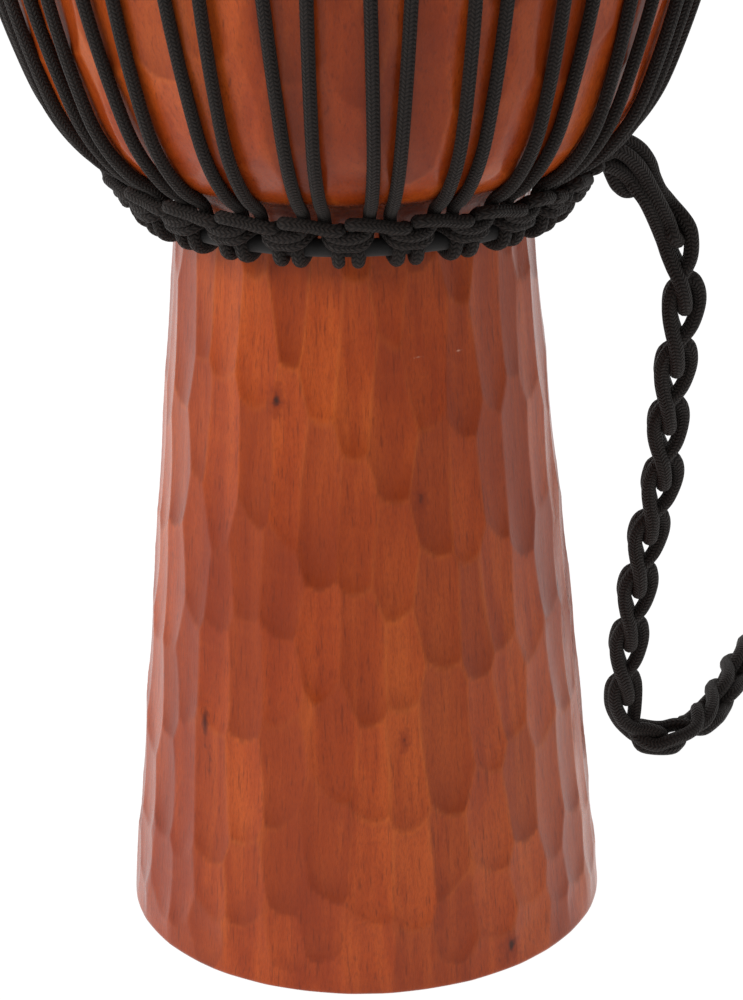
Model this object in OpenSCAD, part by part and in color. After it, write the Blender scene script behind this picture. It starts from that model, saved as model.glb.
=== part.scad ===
// Rope-tuned goblet drum (djembe): carved shell, goatskin head, steel rings and one long lacing rope.
// Millimetres, +Z up, origin at the centre of the foot on the floor. Every profile is (radius, height).

/* [Shell] */
// Radius of the foot at the floor
foot_r = 104; // [102:1:106]
// Smallest radius of the neck
neck_r = 73.9; // [73:0.1:75]
// Largest radius of the bowl
belly_r = 158; // [157:0.5:159]
// Height of the largest radius
belly_z = 540; // [538:1:542]
// Height of the bearing edge
rim_z = 600; // [598:1:602]
// Radius of the long arc of the bowl
belly_arc = 445; // [440:1:450]
// Radius of the arc where the bowl turns in towards the neck
shoulder_arc = 78; // [76:1:80]
// Radius of the tight arc at the bowl's underside
under_arc = 40; // [38:1:42]
// Radius of the hollow between neck and bowl
neck_arc = 20; // [18:1:21]
// Wall thickness of the bowl
wall = 14; // [12:1:16]
// Wall thickness of the foot
foot_wall = 16; // [13:1:18]

/* [Rings] */
// Diameter of the steel rod of each ring
rod_d = 6; // [5:0.5:6]
// Thickness of the cloth wrapped round the crown ring and the waist ring
cloth = 0.6; // [0.4:0.1:0.6]
// Radius of the crown ring
crown_r = 168.4; // [168:0.1:169]
// Height of the crown ring
crown_z = 566; // [565.5:0.5:567]
// Radius of the flesh ring
flesh_r = 165; // [164.5:0.1:165.2]
// Height of the flesh ring
flesh_z = 553; // [552.5:0.5:553.5]
// Radius of the waist ring
waist_r = 85.4; // [85:0.1:85.8]
// Height of the waist ring
waist_z = 321.5; // [321:0.1:322]
// Thickness of the skin
skin = 1.2; // [0.8:0.1:1.2]

/* [Rope] */
// Diameter of the braided rope
rope_d = 4.8; // [4:0.1:4.8]
// Number of rope pairs round the drum
pairs = 24; // [24:1:24]
// Sideways distance of a rope from the middle of its pair, at the waist
pair_low = 3.9; // [3.5:0.1:4.2]
// Sideways distance of a rope from the middle of its pair, at the crown
pair_high = 11.9; // [11:0.1:12.2]
// Angle by which the lacing is turned about the drum
lace_turn = -1.1; // [-2:0.1:0]
// Width of the chain-stitched tail
tail_d = 17; // [15:1:17]

/* [Hidden] */
$fn = 96;

gap = 0.3;                 // air between neighbouring pieces
pitch = 360 / pairs;       // angle from one rope pair to the next
rod = rod_d / 2;
rope = rope_d / 2;
hitch = rod + cloth + rope_d - 0.2;   // outer radius of a rope hitch round a ring
belly_turn = 21.5;         // steepness, in degrees from upright, where the two bowl arcs meet
shoulder_turn = 45;        // steepness where the shoulder meets the underside
under_turn = 70;           // steepness at the bottom of the bowl
edge = 1.5;                // rounding of the foot's outer edge
rim_round = 6;             // rounding of the bearing edge
rim_drop = 6;              // how far below the bearing edge its rounding starts

// Points on an arc in the profile plane, from angle a to angle b
function arc(c, r, a, b, n) = [for (i = [0 : n]) c + r * [cos(a + (b - a) * i / n), sin(a + (b - a) * i / n)]];

// Centres of the shell's arcs. Each arc starts where the last one ends, with the same steepness.
belly_c = [belly_r - belly_arc, belly_z];
shoulder_c = belly_c + (belly_arc - shoulder_arc) * [cos(belly_turn), -sin(belly_turn)];
under_c = shoulder_c + (shoulder_arc - under_arc) * [cos(shoulder_turn), -sin(shoulder_turn)];
under_end = under_c + under_arc * [cos(under_turn), -sin(under_turn)];
neck_x = neck_r + neck_arc;
neck_c = [neck_x, under_end[1]
          + ((neck_x - under_end[0]) * cos(under_turn) - neck_arc) / sin(under_turn)];
foot_to_neck = [foot_r - neck_c[0], neck_c[1]];
shaft_tilt = atan2(foot_to_neck[0], foot_to_neck[1]) + asin(neck_arc / norm(foot_to_neck));
rim_turn = asin((rim_z - rim_drop - belly_z) / belly_arc);
rim_c = belly_c + belly_arc * [cos(rim_turn), sin(rim_turn)] - [rim_round, 0];

module revolve(points) rotate_extrude() polygon(points);

// A ring of round rod, lying level
module rod_ring(r, z) translate([0, 0, z]) rotate_extrude() translate([r, 0]) circle(rod, $fn = 48);

// A cloth strip closed round a ring, its seam on the inner side
module cloth_ring(r, z) {
    clear = 0.05;
    seam = 10;
    inner = arc([r, z], rod + clear, 180 + seam, 540 - seam, 40);
    outer = arc([r, z], rod + cloth, 540 - seam, 180 + seam, 40);
    revolve(concat(inner, outer));
}

// Part of a level ring of rope, centred on the X axis and spanning half degrees each way
module rope_bow(r, z, half) translate([0, 0, z]) rotate([0, 0, -half])
    rotate_extrude(angle = 2 * half) translate([r, 0]) circle(rope, $fn = 32);

// A rope hitch wound round a ring, centred on the X axis
module hitch_sleeve(r, z, half) translate([0, 0, z]) rotate([0, 0, -half])
    rotate_extrude(angle = 2 * half) translate([r, 0]) difference() {
        circle(hitch, $fn = 48);
        circle(rod + cloth + 0.1, $fn = 48);
    }

// Half a turn of rope in the upright plane at x, open upwards or, with up, open downwards
module rope_turn(x, z, r, up = false) translate([x, 0, z]) rotate([0, up ? -90 : 90, 0]) rotate([0, 0, -90])
    rotate_extrude(angle = 180) translate([r, 0]) circle(rope, $fn = 32);

// A straight piece of rope between two points
module rope_run(a, b, r = rope) {
    d = b - a;
    translate(a) rotate([0, acos(d[2] / norm(d)), atan2(d[1], d[0])]) cylinder(h = norm(d), r = r, $fn = 32);
}

module round_the_drum(start = 0) for (i = [0 : pairs - 1])
    rotate([0, 0, start + lace_turn + i * pitch]) children();

// ---- Shell ----
shell_outside = concat(
    arc([foot_r - edge * 1.1, edge], edge, -90, shaft_tilt, 6),
    arc(neck_c, neck_arc, 180 + shaft_tilt, 180 - under_turn, 8),
    arc(under_c, under_arc, -under_turn, -shoulder_turn - 4, 5),
    arc(shoulder_c, shoulder_arc, -shoulder_turn, -belly_turn, 6),
    arc(belly_c, belly_arc, -belly_turn + 2, rim_turn, 12),
    arc(rim_c, rim_round, rim_turn, 90, 6));
shell_inside = concat(
    arc(belly_c, belly_arc - wall, rim_turn - 0.6, -belly_turn + 2, 10),
    arc(shoulder_c, shoulder_arc - wall, -belly_turn, -shoulder_turn, 6),
    arc(under_c, under_arc - wall, -shoulder_turn - 9, -under_turn, 3),
    arc(neck_c, neck_arc + wall, 180 - under_turn, 180, 6));

module shell() color("sienna")
    revolve(concat(shell_outside, shell_inside, [[foot_r - foot_wall, 2], [foot_r - foot_wall + 2, 0]]));

// ---- Head ----
// The skin lies over the bearing edge, leaves the bowl at leave_turn and wraps the flesh ring.
leave_turn = 4.5;
flesh_c = [flesh_r, flesh_z];
hook_in = rod + 0.25;
hook_end = 420;

module goatskin_head() color("wheat") revolve(concat(
    [[0, rim_c[1] + rim_round + gap + skin]],
    arc(rim_c, rim_round + gap + skin, 90, rim_turn, 8),
    arc(belly_c, belly_arc + gap + skin, rim_turn - 0.3, leave_turn, 3),
    arc(flesh_c, hook_in, 180, hook_end, 20),
    arc(flesh_c, hook_in + skin, hook_end, 180, 20),
    arc(belly_c, belly_arc + gap, leave_turn, rim_turn - 0.3, 3),
    arc(rim_c, rim_round + gap, rim_turn, 90, 8),
    [[0, rim_c[1] + rim_round + gap]]));

module flesh_ring() color("silver") rod_ring(flesh_r, flesh_z);

// ---- Crown ----
crown_loop_half = 4.2;     // half the angle between the two legs of a hanging loop
crown_hitch_half = pitch / 2 - crown_loop_half + 0.1;
loop_r = crown_r + 5.1;    // radius at which the loops hang, outside the flesh ring
loop_x = loop_r * cos(crown_loop_half);
loop_y = loop_r * sin(crown_loop_half);
loop_z = crown_z - 19;
leg_top = crown_z - 4;

module crown_ring() color("silver") rod_ring(crown_r, crown_z);
module crown_ring_wrap() color("dimgray") cloth_ring(crown_r, crown_z);

module crown_loops() color("black") {
    round_the_drum(pitch / 2) hitch_sleeve(crown_r, crown_z, crown_hitch_half);
    round_the_drum() {
        rope_turn(loop_x, loop_z, loop_y);
        for (side = [-1, 1])
            rope_run([loop_x, side * loop_y, loop_z], [loop_x, side * loop_y, leg_top]);
    }
}

// ---- Waist ----
bar_r = 101.2;             // radius and height of the bars that hold the ropes down
bar_z = 334;
bar_half = 5.8;            // half the angle of a bar
waist_hitch_half = 4.3;

module waist_ring() color("silver") rod_ring(waist_r, waist_z);
module waist_ring_wrap() color("dimgray") cloth_ring(waist_r, waist_z);

module waist_loops() color("black") {
    round_the_drum() hitch_sleeve(waist_r, waist_z, waist_hitch_half);
    round_the_drum(pitch / 2) {
        rope_bow(bar_r, bar_z, bar_half);
        for (side = [-1, 1]) rotate([0, 0, side * bar_half])
            rope_run([bar_r - 0.5, -side * 0.2, bar_z], [waist_r + 4, -side * 0.2, waist_z + 4], rope - 0.1);
    }
}

// ---- Lacing ----
// One run of rope lies on the two arcs of the bowl, then goes straight up to the crown.
lay = rope + gap;          // height of the rope's centre line over the wood
low_turn = 60;             // steepness of the bowl where a run ends behind its bar
top_x = 162;
top_z = 533;
top_reach = norm([top_x, top_z] - belly_c);
top_lift = atan2(top_z - belly_z, top_x - belly_c[0]);
leave_angle = top_lift - acos((belly_arc + lay) / top_reach);   // where the rope leaves the bowl
run_tilt = atan2(pair_high - pair_low, top_z - bar_z);
join = 0.02;               // hairline between two lengths of the same rope, in degrees

// Part of an arc of rope in the profile plane
module rope_arc(c, r, a, b) translate([c[0], 0, c[1]]) rotate([90, 0, 0]) rotate([0, 0, a])
    rotate_extrude(angle = b - a) translate([r, 0]) circle(rope, $fn = 32);

module lacing_run() {
    rope_arc(under_c, under_arc + lay, -low_turn, -shoulder_turn - join);
    rope_arc(shoulder_c, shoulder_arc + lay, -shoulder_turn + join, -belly_turn - join);
    rope_arc(belly_c, belly_arc + lay, -belly_turn + join, leave_angle - join);
    leave = belly_c + (belly_arc + lay) * [cos(leave_angle), sin(leave_angle)];
    rope_run([leave[0], 0, leave[1]], [top_x, 0, top_z - 0.4]);
}

waist_turn_r = 97;         // radius at which the rope turns back, in front of the waist hitches
waist_turn_z = 331;
waist_turn_half = pitch / 2 - asin(pair_low / waist_turn_r);

module lacing_rope() color("black") {
    round_the_drum(pitch / 2) {
        for (side = [-1, 1]) translate([0, side * pair_low, bar_z]) rotate([-side * run_tilt, 0, 0])
            translate([0, 0, -bar_z]) lacing_run();
        rope_turn(top_x, top_z, pair_high, up = true);
    }
    round_the_drum()
        rope_turn(waist_turn_r * cos(waist_turn_half), waist_turn_z, waist_turn_r * sin(waist_turn_half));
}

// ---- Tail ----
// The spare rope is chain-stitched. It hangs from the waist, reaches the floor behind the drum's
// right side and ends in a loose part-coil.
knot_r = 9;
tail_start = [111, 12, 328];
end_knot_r = 10;
tail_route = [
    [119, 14, 322], [121.5, 15, 317.5], [124.5, 16, 312.5], [127.5, 18, 307], [131.5, 20, 300],
    [136, 22, 291.5], [139, 25, 281], [141, 30, 262], [139.8, 39, 236], [138, 53, 204], [137.5, 69, 166],
    [132, 86, 126], [128, 101, 86], [126, 111, 56], [126, 118, 32], [130, 122, 16], [141, 122, 9.2],
    [154, 127, 9.2], [166, 144, 9.2], [180, 172, 9.2], [194, 208, 9.2], [212, 240, 9.2], [240, 262, 9.2],
    [276, 268, 9.2], [310, 256, 9.2], [336, 230, 9.2], [346, 196, 9.2], [340, 162, 9.2], [320, 134, 9.2],
    [292, 118, 9.2]];

tail_end = tail_route[len(tail_route) - 1];

function unit(v) = v / norm(v);
function heading(p, i) = unit(p[min(i + 1, len(p) - 1)] - p[max(i - 1, 0)]);
// Sideways direction carried along the route, kept square to the heading
function carried(p, i) = let (h = heading(p, i), last = i == 0 ? [0, 1, 0] : carried(p, i - 1))
    unit(last - (last * h) * h);

module swept_tube(p, r, sides) {
    rings = [for (i = [0 : len(p) - 1]) let (h = heading(p, i), u = carried(p, i), v = cross(h, u))
             for (k = [0 : sides - 1]) p[i] + r * (cos(360 * k / sides) * u + sin(360 * k / sides) * v)];
    walls = [for (i = [0 : len(p) - 2]) for (k = [0 : sides - 1])
             let (a = i * sides + k, b = i * sides + (k + 1) % sides) [a, a + sides, b + sides, b]];
    first = [for (k = [0 : sides - 1]) k];
    last = [for (k = [sides - 1 : -1 : 0]) (len(p) - 1) * sides + k];
    polyhedron(rings, concat(walls, [first, last]));
}

module tail_start_knot() color("black") translate(tail_start) sphere(knot_r, $fn = 48);
module tail_chain() color("black") swept_tube(tail_route, tail_d / 2, 10);
module tail_end_knot() color("black")
    translate([tail_end[0] - 9, tail_end[1] - 4, end_knot_r + 0.2]) sphere(end_knot_r, $fn = 48);

shell();
goatskin_head();
flesh_ring();
crown_ring();
crown_ring_wrap();
crown_loops();
waist_ring();
waist_ring_wrap();
waist_loops();
lacing_rope();
tail_start_knot();
tail_chain();
tail_end_knot();
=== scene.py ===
"""Looks of a rope-tuned goblet drum (djembe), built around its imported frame.

Lengths are metres in the scene. The drawing lists below are in millimetres, as (radius, height)
or as points of the row frame, and MM turns them into metres.
"""

import math

import bpy
import numpy as np
from mathutils import Matrix, Vector


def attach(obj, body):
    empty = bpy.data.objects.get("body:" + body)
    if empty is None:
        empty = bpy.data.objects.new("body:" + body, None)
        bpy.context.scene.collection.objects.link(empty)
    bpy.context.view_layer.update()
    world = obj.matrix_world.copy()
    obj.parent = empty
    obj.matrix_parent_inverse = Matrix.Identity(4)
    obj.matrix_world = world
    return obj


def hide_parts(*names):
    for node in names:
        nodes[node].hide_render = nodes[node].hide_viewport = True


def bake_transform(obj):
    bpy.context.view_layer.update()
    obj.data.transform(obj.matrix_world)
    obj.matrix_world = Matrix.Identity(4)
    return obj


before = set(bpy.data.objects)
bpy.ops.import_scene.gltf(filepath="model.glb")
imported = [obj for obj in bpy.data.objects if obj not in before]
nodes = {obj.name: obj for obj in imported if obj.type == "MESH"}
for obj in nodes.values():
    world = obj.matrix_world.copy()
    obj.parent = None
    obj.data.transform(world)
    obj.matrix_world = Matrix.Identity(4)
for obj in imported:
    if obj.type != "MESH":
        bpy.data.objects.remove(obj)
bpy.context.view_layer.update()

MM = 0.001
TAU = 2 * math.pi
FRONT = -TAU / 4          # the drum's front faces -Y
LACE_FRONT = FRONT - math.radians(1.6)   # the lacing's first hitch stands a little left of the front
rng = np.random.RandomState(7)


# ---- Camera ----
def make_camera():
    """A long lens looking down on the drum from the front, turned a little about its own axis."""
    distance = 1.25379
    height = 0.66772
    pitch = 0.368782
    yaw = 0.00415
    roll = -0.0181
    forward = Vector((math.sin(yaw) * math.cos(pitch), math.cos(yaw) * math.cos(pitch), -math.sin(pitch)))
    level = Vector((math.cos(yaw), -math.sin(yaw), 0))
    upright = level.cross(forward)
    right = math.cos(roll) * level + math.sin(roll) * upright
    up = -math.sin(roll) * level + math.cos(roll) * upright
    data = bpy.data.cameras.new("camera")
    data.lens = 112.377
    data.sensor_width = 36
    data.clip_start = 0.05
    data.clip_end = 60
    camera = bpy.data.objects.new("camera", data)
    camera.matrix_world = Matrix((
        (right.x, up.x, -forward.x, 0),
        (right.y, up.y, -forward.y, -distance),
        (right.z, up.z, -forward.z, height),
        (0, 0, 0, 1)))
    bpy.context.scene.collection.objects.link(camera)
    bpy.context.scene.camera = camera


make_camera()


# ---- Curves and meshes ----
def unit(v):
    """Vectors made one long."""
    return v / np.maximum(np.linalg.norm(v, axis=-1, keepdims=True), 1e-12)


def lengths(points):
    """Distance along a line of points, from its first point."""
    steps = np.linalg.norm(np.diff(points, axis=0), axis=1)
    return np.concatenate([[0], np.cumsum(steps)])


def spaced(points, step):
    """The same line with points about step apart."""
    along = lengths(points)
    count = max(2, int(round(along[-1] / step)) + 1)
    at = np.linspace(0, along[-1], count)
    return np.stack([np.interp(at, along, points[:, i]) for i in range(3)], axis=1)


def smooth(points, step):
    """A smooth curve through every point (centripetal Catmull-Rom), with points about step apart."""
    p = np.array(points, float)
    p = np.vstack([2 * p[0] - p[1], p, 2 * p[-1] - p[-2]])
    fine = []
    for a, b, c, d in zip(p[:-3], p[1:-2], p[2:-1], p[3:]):
        t0 = 0.0
        t1 = t0 + max(np.linalg.norm(b - a), 1e-9) ** 0.5
        t2 = t1 + max(np.linalg.norm(c - b), 1e-9) ** 0.5
        t3 = t2 + max(np.linalg.norm(d - c), 1e-9) ** 0.5
        t = np.linspace(t1, t2, 12, endpoint=False)[:, None]
        ab = (t1 - t) / (t1 - t0) * a + (t - t0) / (t1 - t0) * b
        bc = (t2 - t) / (t2 - t1) * b + (t - t1) / (t2 - t1) * c
        cd = (t3 - t) / (t3 - t2) * c + (t - t2) / (t3 - t2) * d
        abc = (t2 - t) / (t2 - t0) * ab + (t - t0) / (t2 - t0) * bc
        bcd = (t3 - t) / (t3 - t1) * bc + (t - t1) / (t3 - t1) * cd
        fine.append((t2 - t) / (t2 - t1) * abc + (t - t1) / (t2 - t1) * bcd)
    fine.append(p[-2:-1])
    return spaced(np.vstack(fine), step)


def around(angle, radius, height):
    """A point of the row frame from its angle about Z (radians), radius and height in millimetres."""
    return np.stack([radius * np.cos(angle), radius * np.sin(angle), height + 0 * angle], axis=-1) * MM


def make_mesh(name, points, faces, uv=None, smooth_faces=True):
    """A mesh object from arrays of points and faces, and of UVs, one for each corner of each face."""
    mesh = bpy.data.meshes.new(name)
    mesh.from_pydata(np.asarray(points).tolist(), [], [list(map(int, f)) for f in faces])
    if uv is not None:
        layer = mesh.uv_layers.new(name="UVMap")
        layer.data.foreach_set("uv", np.asarray(uv, np.float32).ravel())
    mesh.polygons.foreach_set("use_smooth", [smooth_faces] * len(mesh.polygons))
    mesh.update()
    made = bpy.data.objects.new(name, mesh)
    bpy.context.scene.collection.objects.link(made)
    return made


ROPE_RADIUS = 2.65 * MM   # the tight lacing and loops
ROPE_SIDES = 12           # corners round a rope


def tube(points, radius=ROPE_RADIUS, sides=ROPE_SIDES):
    """Rings of points round a line, their quads and UVs (turns round it, metres along it), ends rounded."""
    heading = unit(np.gradient(points, axis=0))
    first = np.cross(heading[0], [0.31, 0.17, 0.93])
    carried = [first / np.linalg.norm(first)]
    for h in heading[1:]:
        v = carried[-1] - carried[-1].dot(h) * h
        carried.append(v / np.linalg.norm(v))
    side = np.array(carried)
    other = np.cross(heading, side)
    along = lengths(points)
    from_end = np.minimum(along, along[-1] - along)
    swell = np.sqrt(np.clip(1 - (1 - np.clip(from_end / radius, 0, 1)) ** 2, 0.02, 1))
    turn = TAU * np.arange(sides) / sides
    outwards = (np.cos(turn)[None, :, None] * side[:, None, :]
                + np.sin(turn)[None, :, None] * other[:, None, :])
    rings = points[:, None, :] + (radius * swell)[:, None, None] * outwards
    n = len(points)
    i, k = np.meshgrid(np.arange(n - 1), np.arange(sides), indexing="ij")
    i, k = i.ravel(), k.ravel()
    nxt = (k + 1) % sides
    quads = np.stack([i * sides + k, i * sides + nxt, (i + 1) * sides + nxt, (i + 1) * sides + k], axis=1)
    u0, u1, v0, v1 = k / sides, (k + 1) / sides, along[i], along[i + 1]
    corners = ((u0, v0), (u1, v0), (u1, v1), (u0, v1))
    uv = np.stack([np.stack(corner, 1) for corner in corners], 1)
    faces = quads.tolist() + [list(range(sides))[::-1], list(range((n - 1) * sides, n * sides))]
    uv = uv.reshape(-1, 2).tolist() + [[0, 0]] * sides + [[0, along[-1]]] * sides
    return rings.reshape(-1, 3), faces, uv


def rope(name, lines, radius=ROPE_RADIUS, sides=ROPE_SIDES):
    """One object made of a rope along each line."""
    points, faces, uv, base = [], [], [], 0
    for line in lines:
        p, f, t = tube(line, radius, sides)
        points.append(p)
        faces += [[base + i for i in face] for face in f]
        uv += t
        base += len(p)
    return make_mesh(name, np.vstack(points), faces, uv)


# ---- Tail: a chain-stitched cord ----
TAIL_ROUTE = [
    (119, 14, 322), (121.5, 15, 317.5), (124.5, 16, 312.5), (127.5, 18, 307), (131.5, 20, 300),
    (136, 22, 291.5), (139, 25, 281), (141, 30, 262), (139.8, 39, 236), (138, 53, 204), (137.5, 69, 166),
    (132, 86, 126), (128, 101, 86), (126, 111, 56), (126, 118, 32), (130, 122, 16), (141, 122, 9.2),
    (154, 127, 9.2), (166, 144, 9.2), (180, 172, 9.2), (194, 208, 9.2), (212, 240, 9.2), (240, 262, 9.2),
    (276, 268, 9.2), (310, 256, 9.2), (336, 230, 9.2), (346, 196, 9.2), (340, 162, 9.2), (320, 134, 9.2),
    (292, 118, 9.2)]
LINKS_PER_METRE = 28.5
CHAIN_ROPE = 3.35 * MM    # the slack rope of the chain is thicker than the tight lacing
FIRST_LINK = .437         # how far along the first link, in stitches, the tail leaves its knot
# One link: share of a stitch along the tail, then millimetres sideways and towards the front.
# A leg comes from behind through the link before, swings out in front and ends in a bow; the other
# leg returns beside it, and the rope bulges behind the last bow on its way to the next link.
LEG = [(-.05, -2.6, -.6), (.06, -2.6, 1.8), (.20, -3.0, 4.4), (.38, -3.5, 5.8), (.60, -4.2, 5.3),
       (.82, -5.2, 3.4), (1.0, -5.8, 1.3), (1.2, -5.7, -.1), (1.35, -4.9, -.7), (1.47, -2.8, -.8),
       (1.52, 0, -.8)]
TURN_BACK = [(.28, 3.0, 4.6), (.20, 2.7, 2.2), (.14, 2.8, .0), (.12, 2.9, -2.4), (.17, 3.1, -4.8),
             (.28, 3.1, -6.4), (.43, 2.4, -7.0), (.61, .6, -6.1), (.79, -1.2, -4.1)]
# Where the front of the links faces: share of the tail's length, then a direction
FACING = [(0, -1, .05, .1), (.38, -1, 0, 0), (.46, -.6, -.75, -.3), (.50, -.1, -.9, .1),
          (.56, .3, -.7, .6), (.64, 0, -.3, .95), (1, 0, -.3, .95)]


def link_points():
    """The rope's way through one link: out along one leg, round the bow, back and behind."""
    back = [(s, -x, n) for s, x, n in LEG[-2:3:-1]]
    return LEG + back + TURN_BACK


def along_route(route, s):
    """Place and directions (sideways, front) at distances s along a route."""
    at = lengths(route)
    place = np.stack([np.interp(s, at, route[:, i]) for i in range(3)], axis=1)
    ahead = np.stack([np.interp(s + 3 * MM, at, route[:, i]) for i in range(3)], axis=1)
    behind = np.stack([np.interp(s - 3 * MM, at, route[:, i]) for i in range(3)], axis=1)
    heading = unit(ahead - behind)
    facing = np.array(FACING)
    towards = np.stack([np.interp(s / at[-1], facing[:, 0], facing[:, i]) for i in (1, 2, 3)], axis=1)
    front = unit(towards - np.sum(heading * towards, axis=1)[:, None] * heading)
    return place, np.cross(heading, front), front


# Strands from the last lacing pair to the first links, in millimetres. JOIN is the point of each at
# which the tail takes over from its knot.
OUTER_STRAND = [(98, -4, 334), (103, 0, 338.5), (108.5, 4, 339.5), (115, 8, 337), (120.4, 11, 332.5),
                (124, 14, 326.5), (126, 17, 320), (128.8, 20, 313.5), (133.4, 24, 307)]
MIDDLE_STRAND = [(101, -1, 334), (107.7, 1, 336.5), (113, 4, 333.8), (117.4, 7, 329), (121, 10, 323.4),
                 (124.6, 13, 316.1), (128.9, 16, 307.7), (132.6, 19, 300)]
INNER_STRAND = [(102, 2, 331), (108.5, 6, 328), (114.2, 10, 323), (118, 12, 317.4), (122.6, 14, 310.8)]
OUTER_JOIN, MIDDLE_JOIN, INNER_JOIN = 6, 4, 2
TYING_BOW = [(101, 2, 333), (105.6, 6, 330), (108, 8, 323.9), (111.2, 11, 317.6), (115.2, 14, 314.7),
             (118.7, 18, 315.8), (119.2, 21, 319.6), (116.9, 23, 324.3), (113.3, 21, 328.3), (108, 16, 331)]


def doubled(strand):
    """A strand's two lengths, one behind the other."""
    strand = np.array(strand)
    apart = np.array([0, 3, 0])
    return (strand - apart) * MM, (strand + apart) * MM


def bight(strand, middle):
    """A doubled strand, joined at its end by a row of points."""
    near, far = doubled(strand)
    return np.vstack([near, middle, far[::-1]])


def make_tail():
    """The tail's chain stitch along its route, and the knot at its far end."""
    route = smooth(np.array(TAIL_ROUTE) * MM, 2 * MM)
    total = lengths(route)[-1]
    links = round(total * LINKS_PER_METRE)
    stitch = total / (links + 0.25)

    def chain_line(way):
        way = np.array(way)
        place, side, front = along_route(route, (way[:, 0] - FIRST_LINK) * stitch)
        line = place + way[:, 1:2] * MM * side + way[:, 2:3] * MM * front
        line[:, 2] = np.maximum(line[:, 2], CHAIN_ROPE + 0.2 * MM)
        return line

    legs = link_points()[:-len(TURN_BACK)]
    first = bight(MIDDLE_STRAND[MIDDLE_JOIN:], chain_line([p for p in legs if p[0] > 1.25]))
    eased = [(1 + s, x, n * min(1, .5 + .5 * s)) for s, x, n in legs if s > .3]
    second = bight(INNER_STRAND[INNER_JOIN:], chain_line(eased))
    rest = [(1 + s, x, n) for s, x, n in TURN_BACK[-3:]]
    rest += [(i + s, x, n) for i in range(2, links) for s, x, n in link_points()]
    rest = np.vstack([np.array(OUTER_STRAND[OUTER_JOIN:]) * MM, chain_line(rest)])
    chain = rope("tail_chain_stitch", [smooth(line, 1.25 * MM) for line in (first, second, rest)], CHAIN_ROPE)
    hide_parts("tail_chain")
    end = route[-1]
    back = unit(route[-1] - route[-6])
    side = np.cross(back, [0, 0, 1])
    knot_line = []
    for t in np.linspace(0, 1, 40):
        turn = TAU * (1.9 * t)
        wide = 5.6 * MM
        knot_line.append(end + back * (1 + 7 * t) * MM + side * wide * math.cos(turn)
                         + np.array([0, 0, 1]) * (1.1 * MM + wide * math.sin(turn)))
    stub = [end + back * 9 * MM, end + back * 13 * MM + np.array([0, 0, -3]) * MM,
            end + back * 17 * MM + np.array([0, 0, -5]) * MM]
    # the rope's end comes out from behind the last link and through its bow, which locks the chain
    place, _, front = along_route(route, total - np.array([31, 21, 11]) * MM)
    through = place - front * np.array([[4.1], [3.6], [1.8]]) * MM
    core = [*through, end - back * 2 * MM, end + back * 4 * MM, *stub]
    end_knot = rope("tail_end_turns", [smooth(knot_line, 1.2 * MM), smooth(core, 1.2 * MM)], CHAIN_ROPE)
    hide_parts("tail_end_knot")
    return chain, end_knot, route


tail_chain, tail_end, tail_line = make_tail()
strands = [np.array(OUTER_STRAND[:OUTER_JOIN + 2]) * MM, np.array(TYING_BOW) * MM,
           *doubled(MIDDLE_STRAND[:MIDDLE_JOIN + 2]), *doubled(INNER_STRAND[:INNER_JOIN + 2])]
tail_start = rope("tail_start_turns", [smooth(line, 1.2 * MM) for line in strands], CHAIN_ROPE)
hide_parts("tail_start_knot")


# ---- Shell: the outline, and the carver's gouge marks ----
def arc(centre, radius, start, end, count):
    """Points on an arc in the profile plane; angles in degrees."""
    a = np.radians(np.linspace(start, end, count))
    return np.stack([centre[0] + radius * np.cos(a), centre[1] + radius * np.sin(a)], axis=1)


def polar(radius, angle):
    """A step of a given length in the profile plane; angle in degrees."""
    return np.array([radius * math.cos(math.radians(angle)), radius * math.sin(math.radians(angle))])


FOOT_R = 104              # outer radius of the foot
NECK_R = 73.9             # outer radius of the neck
RIM_Z = 600               # height of the rim
BELLY_ARC = 445           # radii of the four arcs of the outside, from the rim down
SHOULDER_ARC = 78
UNDER_ARC = 40
NECK_ARC = 20
WALL = 14                 # thickness of the wall, and of the wall at the foot
FOOT_WALL = 16
RIM_ROUND = 6             # rounding of the rim, and of the foot's edge
FOOT_EDGE = 1.5
BELLY_TURN = 21.5         # directions, in degrees below level, where one arc passes into the next
SHOULDER_TURN = 45
UNDER_TURN = 70
BELLY_C = np.array([158 - BELLY_ARC, 540])
SHOULDER_C = BELLY_C + polar(BELLY_ARC - SHOULDER_ARC, -BELLY_TURN)
UNDER_C = SHOULDER_C + polar(SHOULDER_ARC - UNDER_ARC, -SHOULDER_TURN)
UNDER_END = UNDER_C + polar(UNDER_ARC, -UNDER_TURN)
NECK_X = NECK_R + NECK_ARC
SLOPE = math.radians(UNDER_TURN)
NECK_C = np.array([NECK_X, UNDER_END[1]
                   + ((NECK_X - UNDER_END[0]) * math.cos(SLOPE) - NECK_ARC) / math.sin(SLOPE)])
SHAFT_TILT = math.degrees(math.atan2(FOOT_R - NECK_C[0], NECK_C[1])
                          + math.asin(NECK_ARC / math.hypot(FOOT_R - NECK_C[0], NECK_C[1])))
RIM_TURN = math.degrees(math.asin((RIM_Z - RIM_ROUND - BELLY_C[1]) / BELLY_ARC))
RIM_C = BELLY_C + polar(BELLY_ARC, RIM_TURN) - np.array([RIM_ROUND, 0])

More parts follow.
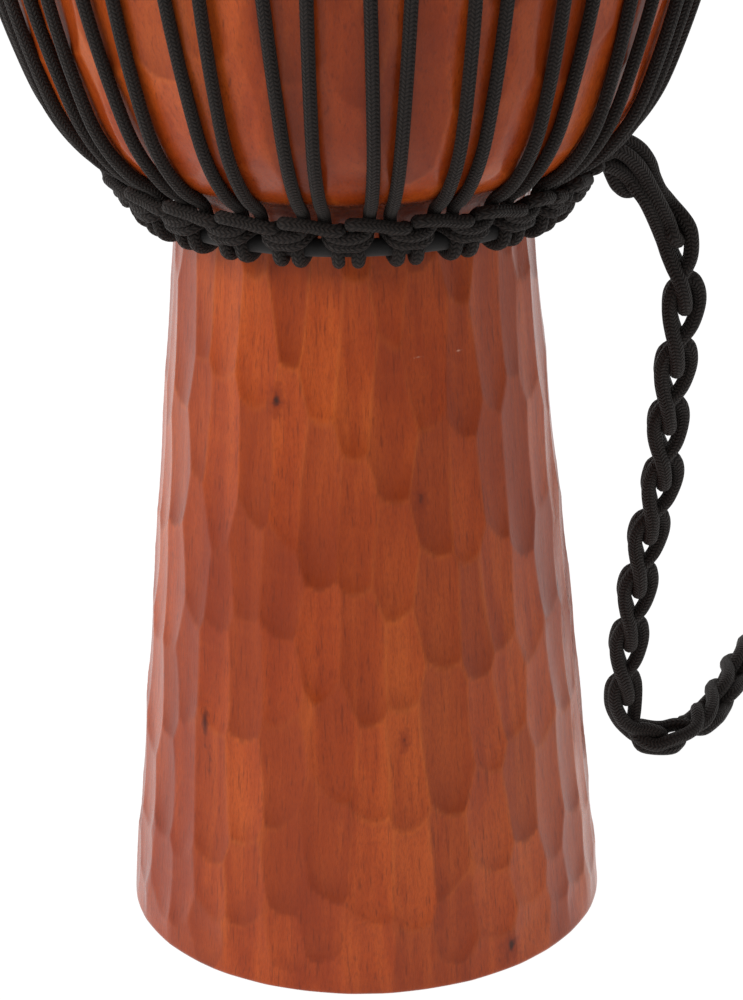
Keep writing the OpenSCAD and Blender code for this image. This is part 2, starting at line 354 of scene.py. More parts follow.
outside = np.vstack([
    arc((FOOT_R - FOOT_EDGE * 1.1, FOOT_EDGE), FOOT_EDGE, -90, SHAFT_TILT, 14),
    arc(NECK_C, NECK_ARC, 180 + SHAFT_TILT, 180 - UNDER_TURN, 30),
    arc(UNDER_C, UNDER_ARC, -UNDER_TURN, -SHOULDER_TURN, 24),
    arc(SHOULDER_C, SHOULDER_ARC, -SHOULDER_TURN, -BELLY_TURN, 24),
    arc(BELLY_C, BELLY_ARC, -BELLY_TURN, RIM_TURN, 40),
    arc(RIM_C, RIM_ROUND, RIM_TURN, 90, 14)])
inside = np.vstack([
    arc(BELLY_C, BELLY_ARC - WALL, RIM_TURN - 0.6, -BELLY_TURN + 2, 12),
    arc(SHOULDER_C, SHOULDER_ARC - WALL, -BELLY_TURN, -SHOULDER_TURN, 6),
    arc(UNDER_C, UNDER_ARC - WALL, -SHOULDER_TURN - 9, -UNDER_TURN, 3),
    arc(NECK_C, NECK_ARC + WALL, 180 - UNDER_TURN, 180, 6),
    [[FOOT_R - FOOT_WALL, 2], [FOOT_R - FOOT_WALL + 2, 0]]])


def resampled(points, at):
    """Points of a profile at given distances along it."""
    steps = np.concatenate([[0], np.cumsum(np.hypot(*np.diff(points, axis=0).T))])
    return np.stack([np.interp(at, steps, points[:, i]) for i in (0, 1)], axis=1), steps[-1]


COLUMNS = 760             # corners of the shell's mesh round the drum
GOUGE_COLUMNS = 34        # rows of gouge marks round the drum
NECK_ALONG = 350          # how far up the outline the neck is, where the carver left no deep marks
RIDGE_WIDTH = 0.42        # a ridge is where two scoops' depths differ by less than this, in millimetres


def gouge_marks(profile, along):
    """How deep each corner of the outside is cut, in millimetres: staggered rows of long scoops,
    each hollow along and across, with a rounded lower end that undercuts the mark below. Also how
    much of a ridge between two scoops each corner is, and how dark it is painted, from 0 to 1: a tone
    that differs at random from scoop to scoop, with painted shade deepening towards the lower end."""
    angle = TAU * np.arange(COLUMNS) / COLUMNS
    cut = np.full((len(along), COLUMNS), -0.45)
    second = cut.copy()
    scoop_tone_and_shade = np.full_like(cut, 0.3)
    girth = np.interp(np.arange(0, along[-1] + 1, 1.0), along, profile[:, 0])
    top = along[-1] - 30
    for column in range(GOUGE_COLUMNS):
        middle = TAU * (column + 0.5) / GOUGE_COLUMNS + rng.normal(0, 0.012)
        sway = rng.uniform(0, TAU)
        at = rng.uniform(-22, 4)
        while at < top:
            on_bowl = at > 345
            near_foot = at < 30
            half = rng.uniform(23, 37) if not on_bowl else rng.uniform(26, 42)
            if 180 < at < 320:
                half *= 1.25
            if near_foot:
                half *= 0.62
            centre = at + 0.8 * half
            radius = float(np.interp(centre, np.arange(len(girth)), girth))
            width = TAU * radius / GOUGE_COLUMNS
            depth = rng.uniform(1.0, 1.45) * (half / 30) ** 0.5
            lean = rng.normal(0, 0.022)
            shift = 0.16 * width * math.sin(sway + centre / 47) + rng.normal(0, 0.05) * width
            low, high = np.searchsorted(along, [centre - 1.25 * half, centre + 1.3 * half])
            v = (along[low:high] - centre) / half
            u = (angle - middle + TAU / 2) % TAU - TAU / 2
            near = np.abs(u) < 1.5 * TAU / GOUGE_COLUMNS
            u = u[near] * radius - shift
            tight = 0.0115 + 0.019 * np.clip(-v, 0, 1.3) ** 2
            fall = np.where(v < 0, np.abs(v) ** 5, np.abs(v) ** 1.8)
            across = (u[None, :] - lean * 8 * v[:, None])
            shape = (depth * (1 - fall[:, None]) - tight[:, None] * (14 / width) ** 0.7 * across ** 2
                     + lean * across)
            patch = cut[low:high, near]
            second[low:high, near] = np.maximum(second[low:high, near], np.minimum(patch, shape))
            # Each scoop has its own tone, which differs at random; painted shade darkens it towards its lower
            # end.
            own = 0.5 + 0.5 * math.sin(7.3 * centre + 3.1 * column)
            darker = 0.5 * own + 0.5 * np.clip(-v, 0, 1)[:, None] ** 2
            scoop_tone_and_shade[low:high, near] = np.where(shape > patch, darker, scoop_tone_and_shade[low:high, near])
            cut[low:high, near] = np.maximum(patch, shape)
            at += 1.62 * half * rng.uniform(0.9, 1.08)
    foot_fade = np.clip((along - 3) / 14, 0, 1)[:, None]
    rim_fade = np.clip((along[-1] - 20 - along) / 40, 0, 1)[:, None]
    ridge = np.clip(1 - (cut - second) / RIDGE_WIDTH, 0, 1) ** 1.5
    neck = np.clip(1.6 - np.abs(along - NECK_ALONG) / 16, 0, 1)[:, None]
    cut = cut * (1 - 0.9 * neck)
    return (cut - 0.2) * np.minimum(0.1 + 0.9 * foot_fade, rim_fade), ridge * foot_fade, scoop_tone_and_shade * rim_fade


def make_shell():
    total = resampled(outside, [0])[1]
    crisp = 455           # length of outline, from the foot, that is modelled most finely
    rows = np.concatenate([
        np.linspace(0, 12, 12, endpoint=False),
        np.linspace(12, crisp, 244, endpoint=False),
        np.linspace(crisp, total - 10, 48, endpoint=False),
        np.linspace(total - 10, total, 8)])
    outer = resampled(outside, rows)[0]
    inner_length = resampled(inside, [0])[1]
    inner = resampled(inside, np.linspace(0, inner_length, 30))[0]
    cut, ridge, scoop_tone_and_shade = gouge_marks(outer, rows)
    tangent = unit(np.gradient(outer, axis=0))
    normal = np.stack([tangent[:, 1], -tangent[:, 0]], axis=1)
    radius = np.concatenate([outer[:, 0][:, None] - normal[:, 0][:, None] * cut,
                             np.repeat(inner[:, 0][:, None], COLUMNS, axis=1)])
    height = np.concatenate([outer[:, 1][:, None] - normal[:, 1][:, None] * cut,
                             np.repeat(inner[:, 1][:, None], COLUMNS, axis=1)])
    height = np.maximum(height, 0)
    angle = np.repeat((TAU * np.arange(COLUMNS) / COLUMNS)[None, :], len(radius), axis=0)
    points = around(angle, radius, height).reshape(-1, 3)
    n = len(radius)
    i, k = np.meshgrid(np.arange(n), np.arange(COLUMNS), indexing="ij")
    j, m = (i + 1) % n, (k + 1) % COLUMNS
    faces = np.stack([i * COLUMNS + k, i * COLUMNS + m, j * COLUMNS + m, j * COLUMNS + k], axis=-1)
    shell = make_mesh("carved_shell", points, faces.reshape(-1, 4))
    # The ridges, for the painted highlight, and each scoop's tone with its painted shade go to the wood's
    # colour.
    for name, values in (("ridge", ridge), ("scoop_tone_and_shade", scoop_tone_and_shade)):
        layer = shell.data.attributes.new(name, "FLOAT", "POINT")
        layer.data.foreach_set("value", np.concatenate([values.ravel(), np.zeros(len(inner) * COLUMNS)]))
    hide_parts("shell")
    return shell


shell = make_shell()


# ---- Waist, lacing and crown ropes ----
PAIRS = 24                # pairs of lacing ropes round the drum
PITCH = TAU / PAIRS
WAIST_R, WAIST_Z = 85.4, 321.5   # the rings' centre lines: radius and height
CROWN_R, CROWN_Z = 168.4, 566
BAR_Z = 334.4             # height of the waist loops' bars
PAIR_LOW, PAIR_HIGH = 3.9, 11.9  # half the distance between a pair's ropes, at the waist and the crown
TOP_Z = 530               # height where a run ends and its turn over the crown's loop begins
LEAN = math.radians(-0.3)  # how far the crown's loops stand round from the waist's
LAY = 2.7                 # height of a rope's middle over the wood
TAIL_PAIR = 3             # the pair, counted from the front to the right, where the rope's two ends meet
# A hitch round a ring, from the middle of its front bar: millimetres sideways, outwards from the
# ring's rod, and along (up at the waist, down at the crown)
HITCH = [(0, 9.9, 3.7), (3.5, 10, 3.7), (6.3, 9, 4.7), (7.6, 6.1, 6.1), (7.7, 2.1, 6.5), (7.2, -2.9, 5),
         (6, -5.4, .5), (4.6, -4.4, -3.9), (3.9, -.4, -5.7), (3.8, 4, -3.9), (3.8, 5.6, 0), (3.7, 5.6, 4),
         (3.2, 6.4, 7.5)]
WAIST_LOOP = [(2.7, 8.6, 10.1), (2.6, 12.2, 12.1), (3.6, 15.2, 12.9), (6, 16, 13.1), (9.5, 16, 13),
              (13.25, 15.8, 12.9)]
CROWN_LOOP = [(4.2, 5.8, -11.5), (7.0, 5.2, -15), (9.4, 5.1, -19), (10.6, 5.1, -24), (14.3, 5.3, -29.2),
              (18.6, 5.6, -31.2), (22.68, 5.8, -31.6)]


def unit_line(points, ring_r, ring_z, up, middle, side):
    """Half a loop in the row frame: points (sideways, outwards, along) from a ring, about an angle."""
    p = np.array(points, float)
    radius = ring_r + p[:, 1]
    return around(middle + side * p[:, 0] / radius, radius, ring_z + up * p[:, 2])


def shingled(points, side):
    """A waist loop's points with its bar tilted, so that each bar's left end lies over the last bar."""
    p = np.array(points, float)
    share = np.zeros(len(p))
    share[len(HITCH):] = [.3, .8, 1, .9, .55, 0]
    p[:, 0] -= 1.3 * share * (side > 0)
    p[:, 1] += (1.5 if side > 0 else -0.9) * share
    p[:, 2] += (1.3 if side > 0 else -1.9) * share
    return p


def whole_loop(points, ring_r, ring_z, up, middle, shape=lambda points, side: points):
    """From the middle of one bar, through the hitch at the angle, to the middle of the next bar."""
    left = unit_line(shape(points, -1), ring_r, ring_z, up, middle, -1)
    right = unit_line(shape(points, 1), ring_r, ring_z, up, middle, 1)
    return np.vstack([left[::-1], right[1:]])


def waist_loops():
    """One rope round the waist ring, from the gap beside the tail all the way round to it."""
    points = HITCH + WAIST_LOOP
    first = TAIL_PAIR + 1
    line = [whole_loop(points, WAIST_R, WAIST_Z, 1, LACE_FRONT + (first + i) * PITCH, shingled)
            for i in range(PAIRS)]
    joined = np.vstack([line[0]] + [piece[1:] for piece in line[1:]])
    made = rope("waist_cradle", [smooth(joined, 1.15 * MM)])
    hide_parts("waist_loops")
    return made


def crown_loops():
    """One closed rope round the crown ring, with a hanging loop for each pair."""
    points = HITCH + [(x, out, -z) for x, out, z in CROWN_LOOP]
    line = [whole_loop(points, CROWN_R, CROWN_Z, -1, LACE_FRONT + LEAN + (i + 0.5) * PITCH)
            for i in range(PAIRS)]
    joined = np.vstack([line[0]] + [piece[1:] for piece in line[1:]] + [line[0][:2]])
    made = rope("crown_cradle", [smooth(joined, 1.4 * MM)])
    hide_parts("crown_loops")
    return made


def run_points():
    """One run of the lacing, from the middle of its turn at the waist to the middle of its turn at the
    crown: (angle from the gap's middle or share of the way to the pair's side, radius, height)."""
    top_r, top_z = 162, TOP_Z
    reach = math.hypot(top_r - BELLY_C[0], top_z - BELLY_C[1])
    leave = (math.degrees(math.atan2(top_z - BELLY_C[1], top_r - BELLY_C[0]))
             - math.degrees(math.acos((BELLY_ARC + LAY) / reach)))
    rising = np.vstack([
        arc(UNDER_C, UNDER_ARC + LAY, -63, -SHOULDER_TURN, 4)[:-1],
        arc(SHOULDER_C, SHOULDER_ARC + LAY, -SHOULDER_TURN, -BELLY_TURN, 6)[:-1],
        arc(BELLY_C, BELLY_ARC + LAY, -BELLY_TURN, leave, 10)])
    straight = np.linspace(rising[-1], (top_r, top_z), 5)[1:]
    return np.vstack([rising, straight])


WAIST_TURN = [(0, 97.8, 328.7), (1.8, 97.4, 329), (3.6, 96.6, 329.9), (4.7, 96.1, 331.8), (5.05, 96.1, 334.4),
              (5.15, 97.2, 337.4)]
CROWN_TURN = [(4.3, 165.5, 537), (4.05, 170.5, 542.5), (3.4, 176, 547), (2.1, 179, 549.8), (0, 179.6, 550.8)]


# Hand-pulled ropes stray: pair counted from the front to the right, then how far its left and its
# right rope stand to the right of their even places at the crown, in millimetres
STRAY = {-4: (-1.5, -2.0), -3: (-3.0, -1.7), -2: (0.2, -2.7), -1: (0.3, 0.8), 0: (1.1, -0.7),
         1: (1.8, -4.0), 2: (-0.4, -2.4), 3: (-5.0, -4.0), 4: (-3.0, -2.5), 7: (1.5, 0.5), 9: (-1.5, 1.0),
         -7: (1.0, -1.2), -9: (0.6, 1.8), -11: (-1.2, 0.4)}


def lacing_run(index, side):
    """Half a unit of lacing, from the turn at a gap's middle up to the turn at the next pair's middle."""
    gap = LACE_FRONT + index * PITCH
    number = (index if side > 0 else index - 1) % PAIRS
    number = number if number < PAIRS / 2 else number - PAIRS
    stray = STRAY.get(number, (0, 0))[0 if side > 0 else 1]
    turn = np.array(WAIST_TURN)
    low = around(gap + side * np.radians(turn[:, 0]), turn[:, 1], turn[:, 2])
    run = run_points()
    pair = gap + side * PITCH / 2
    rise = (run[:, 1] - BAR_Z) / (TOP_Z - BAR_Z)
    spread = PAIR_LOW + rise * (PAIR_HIGH - PAIR_LOW)
    middle = around(pair + LEAN * rise + (stray * rise - side * spread) / run[:, 0], run[:, 0], run[:, 1])
    turn = np.array(CROWN_TURN)
    settle = stray / run[-1, 0] * np.array([1, .9, .6, .25, 0])
    high = around(pair + LEAN + settle - side * np.radians(turn[:, 0]), turn[:, 1], turn[:, 2])
    return np.vstack([low, middle, high])


def lacing():
    """The whole lacing is one rope, up and down round the drum."""
    line = []
    for i in range(PAIRS):
        index = TAIL_PAIR + 1 + i
        rising = lacing_run(index, 1)
        falling = lacing_run(index + 1, -1)[::-1]
        line.append(rising[:-1])
        line.append(falling[:-1])
    line.append(falling[-1:])
    made = rope("lacing", [smooth(np.vstack(line), 1.9 * MM)])
    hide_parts("lacing_rope")
    return made


waist_cradle = waist_loops()
crown_cradle = crown_loops()
lacing_line = lacing()


# ---- Head ----
def make_skin():
    """The skin lies over the bearing edge and wraps the flesh ring, its edge trimmed above the ring."""
    skin = 1.2
    lift = 0.3 + skin / 2
    flesh = (165, 553)
    hook = 3.25 + skin / 2
    profile = np.vstack([
        np.stack([np.linspace(0.4, RIM_C[0], 26), np.full(26, RIM_C[1] + RIM_ROUND + lift)], axis=1),
        arc(RIM_C, RIM_ROUND + lift, 88, RIM_TURN, 9),
        arc(BELLY_C, BELLY_ARC + lift, RIM_TURN - 0.3, 4.5, 5),
        arc(flesh, hook, 180, 420, 22)])
    columns = 192
    angle = TAU * np.arange(columns) / columns
    ripple = rng.normal(0, 1, columns)
    ripple = sum(np.roll(ripple, k) for k in range(-3, 4)) / 7
    radius = np.repeat(profile[:, 0][:, None], columns, axis=1)
    height = np.repeat(profile[:, 1][:, None], columns, axis=1)
    edge = np.clip((np.arange(len(profile)) - (len(profile) - 9)) / 8, 0, 1)[:, None]
    height = height + edge * 1.2 * ripple[None, :]
    radius = radius + edge * 0.5 * np.roll(ripple, 11)[None, :]
    points = around(np.repeat(angle[None, :], len(profile), axis=0), radius, height).reshape(-1, 3)
    n = len(profile)
    i, k = np.meshgrid(np.arange(n - 1), np.arange(columns), indexing="ij")
    m = (k + 1) % columns
    faces = np.stack([i * columns + k, (i + 1) * columns + k, (i + 1) * columns + m, i * columns + m],
                     axis=-1).reshape(-1, 4)
    middle = list(range(columns))
    faces = faces.tolist() + [middle]
    made = make_mesh("stretched_skin", points, faces)
    thick = made.modifiers.new("thickness", "SOLIDIFY")
    thick.thickness = skin * MM * 0.8
    thick.offset = 0
    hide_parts("goatskin_head")
    return made


skin_head = make_skin()


# ---- Materials ----
class Shader:
    """A material's node tree, with a short call for each kind of node."""

    def __init__(self, name):
        self.material = bpy.data.materials.new(name)
        self.material.use_nodes = True
        self.tree = self.material.node_tree
        self.surface = self.tree.nodes["Principled BSDF"]

    def node(self, kind, inputs=None, **settings):
        made = self.tree.nodes.new(kind)
        for key, value in settings.items():
            setattr(made, key, value)
        for key, value in (inputs or {}).items():
            self.put(made, key, value)
        return made

    def put(self, node, key, value):
        socket = node.inputs[key]
        if isinstance(value, bpy.types.NodeSocket):
            self.tree.links.new(value, socket)
        else:
            socket.default_value = value

    def set(self, **values):
        for key, value in values.items():
            self.put(self.surface, key.replace("_", " "), value)

    def place(self, scale=(1, 1, 1)):
        source = self.node("ShaderNodeTexCoord").outputs["Object"]
        return self.node("ShaderNodeMapping", {"Vector": source, "Scale": scale}).outputs[0]

    def noise(self, where, scale, detail=3, rough=0.5, distort=0.0):
        made = self.node("ShaderNodeTexNoise", {"Vector": where, "Scale": scale, "Detail": detail,
                                                "Roughness": rough, "Distortion": distort})
        return made.outputs["Fac"]

    def math(self, kind, a, b=0.0, c=0.0):
        return self.node("ShaderNodeMath", {0: a, 1: b, 2: c}, operation=kind).outputs[0]

    def stretch(self, value, low, high, to_low=0.0, to_high=1.0):
        made = self.node("ShaderNodeMapRange", {"Value": value, "From Min": low, "From Max": high,
                                                "To Min": to_low, "To Max": to_high})
        return made.outputs[0]

    def mix(self, share, a, b, kind="MIX"):
        made = self.node("ShaderNodeMix", data_type="RGBA", blend_type=kind)
        self.put(made, 0, share)
        self.put(made, 6, a)
        self.put(made, 7, b)
        return made.outputs[2]

    def bump(self, height, strength, distance, below=None):
        inputs = {"Height": height, "Strength": strength, "Distance": distance}
        if below is not None:
            inputs["Normal"] = below
        return self.node("ShaderNodeBump", inputs).outputs[0]


# Small knots in the wood: degrees to the right of the front, height and size in millimetres
KNOTS = [(-24.0, 255, 2.6), (17.5, 214, 2.0), (10.3, 112, 1.8), (36.3, 11, 2.6), (70.0, 154, 2.2)]
# Pale nicks and dark streaks: the same, then how many times taller than wide
SCRATCHES = [(31.8, 272, 2.2, .3), (18.8, 272, 1.9, .34)]
STREAKS = [(-45.4, 111, 2.0, 7.0), (-43.8, 94, 1.6, 6.0)]


def outside_radius(height):
    """The shell's outer radius at a height, both in millimetres."""
    return float(np.interp(height, outside[:, 1], outside[:, 0]))


def wood_material():
    """Stained reddish hardwood under a satin lacquer: upright grain and pores, cloudy stain, small knots;
    painted shade darkens the gouge marks towards their lower ends, and a painted highlight lightens their
    ridges.
    """
    s = Shader("stained_wood")
    deep = (0.29, 0.0355, 0.0046, 1)
    body = (0.43, 0.066, 0.009, 1)
    light = (0.56, 0.108, 0.0165, 1)
    bend = s.noise(s.place((1, 1, 0.5)), 9, 2)
    where = s.place((1, 1, 0.055))
    streaks = s.noise(where, 55, 5, 0.6, 0.8)
    grain = s.noise(where, 330, 4, 0.65)
    cloud = s.noise(s.place((1, 1, 0.45)), 14, 3, 0.55, 0.6)
    ribbon = s.noise(s.place((1, 1, 3.2)), 48, 3, 0.6, 0.4)
    pores = s.noise(s.place((1, 1, 0.028)), 950, 2, 0.6)
    tone = s.math("ADD", s.math("MULTIPLY", streaks, 0.45), s.math("MULTIPLY", cloud, 0.4))
    tone = s.math("ADD", tone, s.math("MULTIPLY", bend, 0.15))
    colour = s.mix(s.stretch(tone, 0.38, 0.52), deep, body)
    colour = s.mix(s.stretch(tone, 0.5, 0.66), colour, light)
    colour = s.mix(s.stretch(grain, 0.46, 0.68, 0.0, 0.42), colour, deep)
    colour = s.mix(s.stretch(ribbon, 0.5, 0.75, 0.0, 0.16), colour, light)
    colour = s.mix(s.stretch(pores, 0.58, 0.7, 0.0, 0.42), colour, (0.06, 0.009, 0.003, 1))
    stipple = s.noise(s.place((1, 1, 0.3)), 1500, 3, 0.7)
    colour = s.mix(s.stretch(stipple, 0.45, 0.75, 0.0, 0.5), colour, (0.15, 0.019, 0.004, 1))
    ridge = s.node("ShaderNodeAttribute", attribute_name="ridge").outputs["Fac"]
    scoop_tone_and_shade = s.node("ShaderNodeAttribute", attribute_name="scoop_tone_and_shade").outputs["Fac"]
    # Painted shade: the scoops darken towards their lower ends, mixed with a tone that differs at random from
    # scoop to scoop.
    colour = s.mix(s.stretch(scoop_tone_and_shade, 0.15, 0.9, 0.0, 0.72), colour, (0.19, 0.0235, 0.0035, 1))
    # Painted highlight: the ridges between scoops are lightened to a pale ochre, more in some clouds of the
    # stain than in others.
    colour = s.mix(s.math("MULTIPLY", ridge, s.stretch(cloud, 0.38, 0.62, 0.0, 0.3)), colour,
                   (0.56, 0.137, 0.024, 1))
    ragged = s.noise(s.place(), 420, 3)

    def spot(angle, height, size, tall, core):
        """How much of a spot shows, from 1 in its core to 0 outside it."""
        a = FRONT + math.radians(angle)
        r = outside_radius(height)
        middle = (r * math.cos(a) * MM, r * math.sin(a) * MM, height * MM / tall)
        away = s.node("ShaderNodeVectorMath", {0: s.place((1, 1, 1 / tall)), 1: middle},
                      operation="DISTANCE").outputs["Value"]
        uneven = s.math("MULTIPLY", away, s.stretch(ragged, 0.3, 0.7, 0.65, 1.5))
        return s.stretch(uneven, core * size * MM, size * MM, 1.0, 0.0)

    for angle, height, size in KNOTS:
        colour = s.mix(spot(angle, height, 2.0 * size, 2.0, 0.1), colour, (0.22, 0.026, 0.004, 1))
        colour = s.mix(spot(angle, height, 0.8 * size, 1.7, 0.3), colour, (0.055, 0.014, 0.008, 1))
    for angle, height, size, tall in SCRATCHES:
        colour = s.mix(spot(angle, height, size, tall, 0.5), colour, (0.62, 0.30, 0.20, 1))
    for angle, height, size, tall in STREAKS:
        colour = s.mix(spot(angle, height, size, tall, 0.2), colour, (0.09, 0.012, 0.004, 1))
    s.set(Base_Color=colour, Roughness=s.stretch(grain, 0.3, 0.7, 0.22, 0.32), IOR=1.45)
    s.put(s.surface, "Specular IOR Level", 0.28)
    relief = s.bump(pores, 0.12, 0.0004)
    relief = s.bump(streaks, 0.18, 0.0006, relief)
    s.set(Normal=relief)
    return s.material


STITCH = 1.8 * MM         # length of one stitch of the rope's braid


def rope_material():
    """Black braided cord: fine interlocking stitches in rows of chevrons, their crowns lighter and painted
    shade in the grooves between them, with a little lint.
    """
    s = Shader("black_braid")
    uv = s.node("ShaderNodeUVMap", uv_map="UVMap").outputs[0]
    split = s.node("ShaderNodeSeparateXYZ", {0: uv})
    turns = s.math("MULTIPLY", split.outputs[0], 5.0)
    slope = s.math("PINGPONG", turns, 0.5)
    stitch = s.math("MULTIPLY", split.outputs[1], 1 / STITCH)
    phase = s.math("MULTIPLY_ADD", slope, 1.4, stitch)
    ridge = s.math("SINE", s.math("MULTIPLY", phase, TAU))
    ridge = s.math("POWER", s.math("MULTIPLY_ADD", ridge, 0.5, 0.5), 0.6)
    edge = s.math("SINE", s.math("MULTIPLY", slope, TAU))
    edge = s.math("POWER", s.math("ABSOLUTE", edge), 0.35)
    height = s.math("MULTIPLY", ridge, edge)
    fuzz = s.noise(s.place(), 2200, 2, 0.7)
    worn = s.noise(s.place(), 60, 3, 0.6)
    # Painted shade: the colour follows the braid's height, dark in the grooves and lighter on the stitches'
    # crowns.
    colour = s.mix(height, (0.0026, 0.0018, 0.0015, 1), (0.0250, 0.0180, 0.0152, 1))
    colour = s.mix(s.stretch(fuzz, 0.55, 0.8, 0.0, 0.4), colour, (0.026, 0.019, 0.0165, 1))
    colour = s.mix(s.stretch(worn, 0.52, 0.75, 0.0, 0.25), colour, (0.024, 0.018, 0.0155, 1))
    s.set(Base_Color=colour, Roughness=s.stretch(fuzz, 0.2, 0.8, 0.62, 0.82), IOR=1.4,
          Sheen_Weight=0.05, Sheen_Roughness=0.45, Sheen_Tint=(0.8, 0.76, 0.72, 1))
    s.put(s.surface, "Specular IOR Level", 0.3)
    relief = s.bump(fuzz, 0.2, 0.0002)
    s.set(Normal=s.bump(height, 0.9, 0.0006, relief))
    return s.material


def steel_material():
    """Round steel rod with fine draw marks and a few darker patches."""
    s = Shader("ring_steel_rod")
    marks = s.noise(s.place((1, 1, 12)), 300, 3)
    patch = s.noise(s.place(), 40, 4)
    colour = s.mix(s.stretch(patch, 0.45, 0.7), (0.42, 0.42, 0.43, 1), (0.2, 0.18, 0.17, 1))
    s.set(Base_Color=colour, Metallic=1.0, Roughness=s.stretch(marks, 0.3, 0.7, 0.28, 0.46))
    s.set(Normal=s.bump(marks, 0.15, 0.0002))
    return s.material


WRAP_TURNS = 46           # turns of the cloth strip round a ring
WRAP_SLANT = 60.0         # how far each turn leans, in turns per metre of height


def cloth_material():
    """Dark cotton strip wound round the rings, its turns slanted and its weave fine."""
    s = Shader("ring_cloth_strip")
    where = s.place()
    split = s.node("ShaderNodeSeparateXYZ", {0: where})
    turn = s.math("ARCTAN2", split.outputs[1], split.outputs[0])
    slant = s.math("MULTIPLY", split.outputs[2], WRAP_SLANT)
    lap = s.math("FRACT", s.math("ADD", s.math("MULTIPLY", turn, WRAP_TURNS / TAU), slant))
    weave = s.noise(s.place((1, 1, 1)), 1500, 2, 0.7)
    colour = s.mix(weave, (0.004, 0.0034, 0.0032, 1), (0.012, 0.0095, 0.0085, 1))
    colour = s.mix(s.stretch(lap, 0.9, 1.0), colour, (0.002, 0.0017, 0.0016, 1))
    s.set(Base_Color=colour, Roughness=0.85, Sheen_Weight=0.15, Sheen_Roughness=0.5)
    relief = s.bump(weave, 0.4, 0.0003)
    s.set(Normal=s.bump(lap, 0.6, 0.0006, relief))
    return s.material


def skin_material():
    """Goat rawhide: pale cream with a darker spine stripe, mottling, veins and shaved hair roots."""
    s = Shader("goat_rawhide")
    where = s.place()
    split = s.node("ShaderNodeSeparateXYZ", {0: where})
    cloud = s.noise(where, 9, 5, 0.6, 0.7)
    veins = s.noise(s.place((1, 0.5, 1)), 38, 6, 0.65, 1.4)
    roots = s.noise(where, 900, 2, 0.6)
    stripe = s.math("ABSOLUTE", s.math("ADD", split.outputs[0], s.math("MULTIPLY_ADD", cloud, 0.08, -0.04)))
    colour = s.mix(s.stretch(cloud, 0.4, 0.62), (0.62, 0.47, 0.30, 1), (0.74, 0.62, 0.44, 1))
    colour = s.mix(s.stretch(stripe, 0.028, 0.0, 0.0, 0.55), colour, (0.36, 0.23, 0.13, 1))
    colour = s.mix(s.stretch(veins, 0.57, 0.66, 0.0, 0.3), colour, (0.45, 0.31, 0.19, 1))
    colour = s.mix(s.stretch(roots, 0.6, 0.72, 0.0, 0.45), colour, (0.22, 0.14, 0.09, 1))
    s.set(Base_Color=colour, Roughness=s.stretch(cloud, 0.3, 0.7, 0.42, 0.6), IOR=1.45,
          Subsurface_Weight=0.12, Subsurface_Radius=(0.004, 0.002, 0.001), Subsurface_Scale=1.0)
    s.set(Normal=s.bump(veins, 0.25, 0.0006, s.bump(roots, 0.2, 0.0003)))
    return s.material


def give(material, *objects):
    """Each object gets this one material."""
    for o in objects:
        o.data.materials.clear()
        o.data.materials.append(material)


wood = wood_material()
braid = rope_material()
steel = steel_material()
cloth = cloth_material()
rawhide = skin_material()
give(wood, shell)
give(braid, tail_chain, tail_end, tail_start, waist_cradle, crown_cradle, lacing_line)
give(rawhide, skin_head)
give(steel, nodes["flesh_ring"], nodes["crown_ring"], nodes["waist_ring"])
give(cloth, nodes["crown_ring_wrap"], nodes["waist_ring_wrap"])


# ---- What each piece rides on ----
for piece, slot in ((shell, "carved_wood"), (tail_chain, "black_rope"), (tail_end, "black_rope"),
                    (tail_start, "black_rope"), (waist_cradle, "black_rope")):
    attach(piece, "drum")
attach(crown_cradle, "crown")
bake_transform(lacing_line)
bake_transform(skin_head)


# ---- Stage and light ----
FLOOR_GLOW = 1.0          # the table's own light under and behind the drum
FRONT_GLOW = 0.22         # and in front of it, towards the camera
GLOW_STARTS = -0.62       # between these places along Y the one turns into the other
GLOW_FULL = -0.12


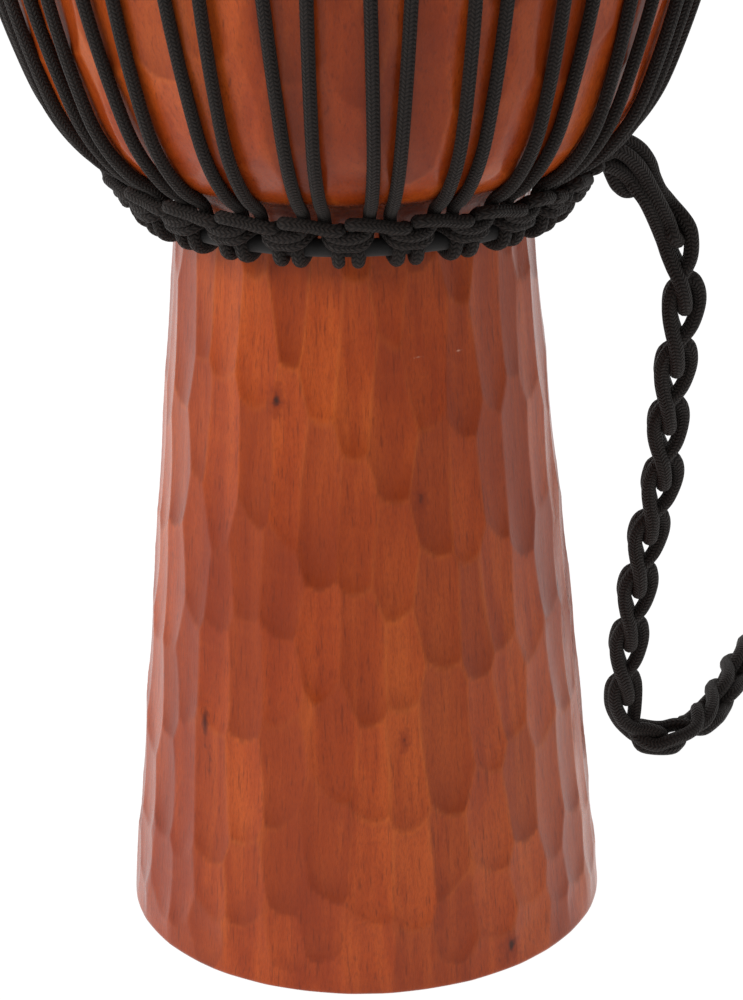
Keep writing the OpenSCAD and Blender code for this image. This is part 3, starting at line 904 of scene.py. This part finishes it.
def make_stage():
    """A pale table that glows from within, less so some way in front of the drum."""
    size = 9.0
    corners = [(-size, -size, 0), (size, -size, 0), (size, size, 0), (-size, size, 0)]
    floor = make_mesh("floor", corners, [(0, 1, 2, 3)], smooth_faces=False)
    floor.location.z = -0.0005
    s = Shader("white_table")
    split = s.node("ShaderNodeSeparateXYZ", {0: s.place()})
    near = s.stretch(split.outputs[1], GLOW_STARTS, GLOW_FULL)
    glow = s.stretch(split.outputs[1], GLOW_STARTS, GLOW_FULL, FRONT_GLOW, FLOOR_GLOW)
    s.set(Base_Color=s.mix(near, (0.55, 0.55, 0.55, 1), (0.06, 0.06, 0.06, 1)), Roughness=1.0,
          Emission_Color=(1, 1, 1, 1), Emission_Strength=glow)
    s.put(s.surface, "Specular IOR Level", 0.0)
    give(s.material, floor)


def make_world():
    """A white room, dimmer behind the camera."""
    world = bpy.data.worlds.new("room")
    bpy.context.scene.world = world
    world.use_nodes = True
    tree = world.node_tree
    background = tree.nodes["Background"]
    where = tree.nodes.new("ShaderNodeTexCoord").outputs["Generated"]
    split = tree.nodes.new("ShaderNodeSeparateXYZ")
    tree.links.new(where, split.inputs[0])

    def ramp(socket, low, high, to_low, to_high):
        made = tree.nodes.new("ShaderNodeMapRange")
        made.interpolation_type = "SMOOTHSTEP"
        for key, value in (("From Min", low), ("From Max", high), ("To Min", to_low), ("To Max", to_high)):
            made.inputs[key].default_value = value
        tree.links.new(socket, made.inputs["Value"])
        return made.outputs[0]

    def combine(kind, a, b):
        made = tree.nodes.new("ShaderNodeMath")
        made.operation = kind
        tree.links.new(a, made.inputs[0])
        tree.links.new(b, made.inputs[1])
        return made.outputs[0]

    behind = ramp(split.outputs[1], -0.8, 0.65, 0.22, 1.0)
    across = ramp(split.outputs[0], -1.0, 1.0, 1.2, 0.62)
    total = combine("MULTIPLY", behind, across)
    forward = ramp(split.outputs[1], 0.75, 0.9, 0.0, 1.0)
    total = combine("MAXIMUM", total, forward)
    tree.links.new(total, background.inputs["Strength"])
    background.inputs["Color"].default_value = (1, 1, 1, 1)


def soft_box(name, place, target, size, power):
    """A rectangular lamp that faces a point; power in watts."""
    data = bpy.data.lights.new(name, "AREA")
    data.shape = "RECTANGLE"
    data.size, data.size_y = size
    data.energy = power
    light = bpy.data.objects.new(name, data)
    light.location = place
    light.rotation_euler = (Vector(target) - Vector(place)).to_track_quat("-Z", "Y").to_euler()
    bpy.context.scene.collection.objects.link(light)


make_stage()
make_world()
soft_box("key_box", (-1.3, -1.05, 1.45), (0, 0, 0.3), (1.0, 1.0), 23.5)
soft_box("fill_box", (0.9, -1.3, 0.75), (0, 0, 0.5), (0.8, 0.8), 2)
bpy.context.scene.view_settings.view_transform = "Standard"
